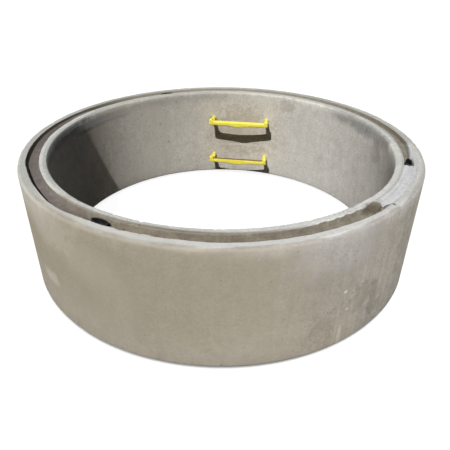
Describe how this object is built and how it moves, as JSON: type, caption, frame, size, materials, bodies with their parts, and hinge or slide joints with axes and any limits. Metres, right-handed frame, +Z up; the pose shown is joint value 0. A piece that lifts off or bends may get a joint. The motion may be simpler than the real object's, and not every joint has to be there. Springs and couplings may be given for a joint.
{
  "type": "precast concrete chamber ring",
  "caption": "Round open-ended precast concrete chamber ring with a jointing groove in its rim, a tongue underneath, step irons on the inner wall and lifting points in the groove.",
  "frame": {"origin": "on the ring's axis, on the level floor that the tongue stands on", "axes": "+Z up along the ring's axis, through the grooved rim; -Y toward the viewer, +X to the viewer's right"},
  "size_m": [1.74, 1.74, 0.515],
  "materials": {
    "concrete": "smooth cast concrete, dry, with pale rims and small air holes",
    "step_plastic": "satin yellow polypropylene over a steel bar",
    "cup_plastic": "satin black plastic",
    "anchor_steel": "dull dark forged steel"
  },
  "bodies": {
    "root": {"chamber_ring": "concrete", "upper_step_iron": "step_plastic", "lower_step_iron": "step_plastic", "left_recess_cup": "cup_plastic", "right_recess_cup": "cup_plastic", "back_recess_cup": "cup_plastic", "left_lifting_anchor": "anchor_steel", "right_lifting_anchor": "anchor_steel", "back_lifting_anchor": "anchor_steel"}
  },
  "joints": []
}
